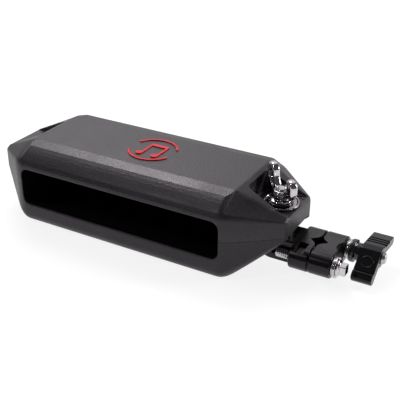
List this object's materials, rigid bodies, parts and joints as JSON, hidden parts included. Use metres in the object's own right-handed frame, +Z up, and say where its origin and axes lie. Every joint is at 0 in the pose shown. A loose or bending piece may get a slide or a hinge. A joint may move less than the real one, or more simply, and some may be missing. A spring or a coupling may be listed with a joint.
{
  "type": "woodblock",
  "caption": "Moulded slotted percussion block with end pockets and a swivelling die-cast vise clamp for an upright rod.",
  "frame": {"origin": "centre of the block's flat base, where it rests", "axes": "+X along the block towards the clamp, -Y out of the slot, +Z up through the striking plate"},
  "size_m": [0.3016, 0.0958, 0.0706],
  "materials": {
    "shell_plastic": "fine-grained moulded plastic",
    "emblem_red": "satin raised plastic",
    "bright_steel": "zinc-plated steel",
    "chrome_plate": "polished chrome plate",
    "rubber_black": "matt rubber",
    "cast_black": "gloss black coat on die-cast zinc",
    "black_metal": "black chrome",
    "handle_plastic": "satin moulded plastic"
  },
  "bodies": {
    "block": {"upper_shell": "shell_plastic", "lower_shell": "shell_plastic", "emblem": "emblem_red", "cup_washer": "chrome_plate", "nut_washer": "bright_steel"},
    "nut": {"wing_nut": "chrome_plate"},
    "pad": {"rubber_washer": "rubber_black"},
    "bracket": {"inner_jaw": "cast_black", "mounting_bolt": "bright_steel", "key_nut": "bright_steel", "clamp_nut": "bright_steel"},
    "jaw": {"outer_jaw": "cast_black", "key_split_washer": "bright_steel", "key_flat_washer": "chrome_plate", "screw_split_washer": "bright_steel", "screw_flat_washer": "chrome_plate"},
    "handle": {"clamp_screw": "bright_steel", "handle_collar": "black_metal", "wing_handle": "handle_plastic", "handle_cap": "chrome_plate"},
    "key": {"key_bolt": "chrome_plate"}
  },
  "joints": [
    {"name": "nut_turn", "type": "hinge", "parent": "block", "child": "nut", "pos_m": [0.107, 0, 0.05], "axis": [0, 0, 1], "range_deg": [0, 720]},
    {"name": "bracket_drop", "type": "slide", "parent": "block", "child": "pad", "axis": [0, 0, -1], "range_m": [0, 0.00282]},
    {"name": "bracket_swivel", "type": "hinge", "parent": "pad", "child": "bracket", "pos_m": [0.107, 0, 0.02], "axis": [0, 0, 1], "range_deg": [-12, 12]},
    {"name": "jaw_slide", "type": "slide", "parent": "bracket", "child": "jaw", "axis": [1, 0, 0], "range_m": [0, 0.00423]},
    {"name": "handle_turn", "type": "hinge", "parent": "jaw", "child": "handle", "pos_m": [0.17, 0.0133, 0.0151], "axis": [1, 0, 0], "range_deg": [0, 1080]},
    {"name": "key_turn", "type": "hinge", "parent": "jaw", "child": "key", "pos_m": [0.16, -0.0133, 0.0151], "axis": [1, 0, 0], "range_deg": [0, 1080]}
  ],
  "couplings": [
    {"joint": "nut_turn", "follows": "bracket_drop", "rad_per_m": 4453},
    {"joint": "handle_turn", "follows": "jaw_slide", "rad_per_m": 4453},
    {"joint": "key_turn", "follows": "jaw_slide", "rad_per_m": 4453}
  ]
}
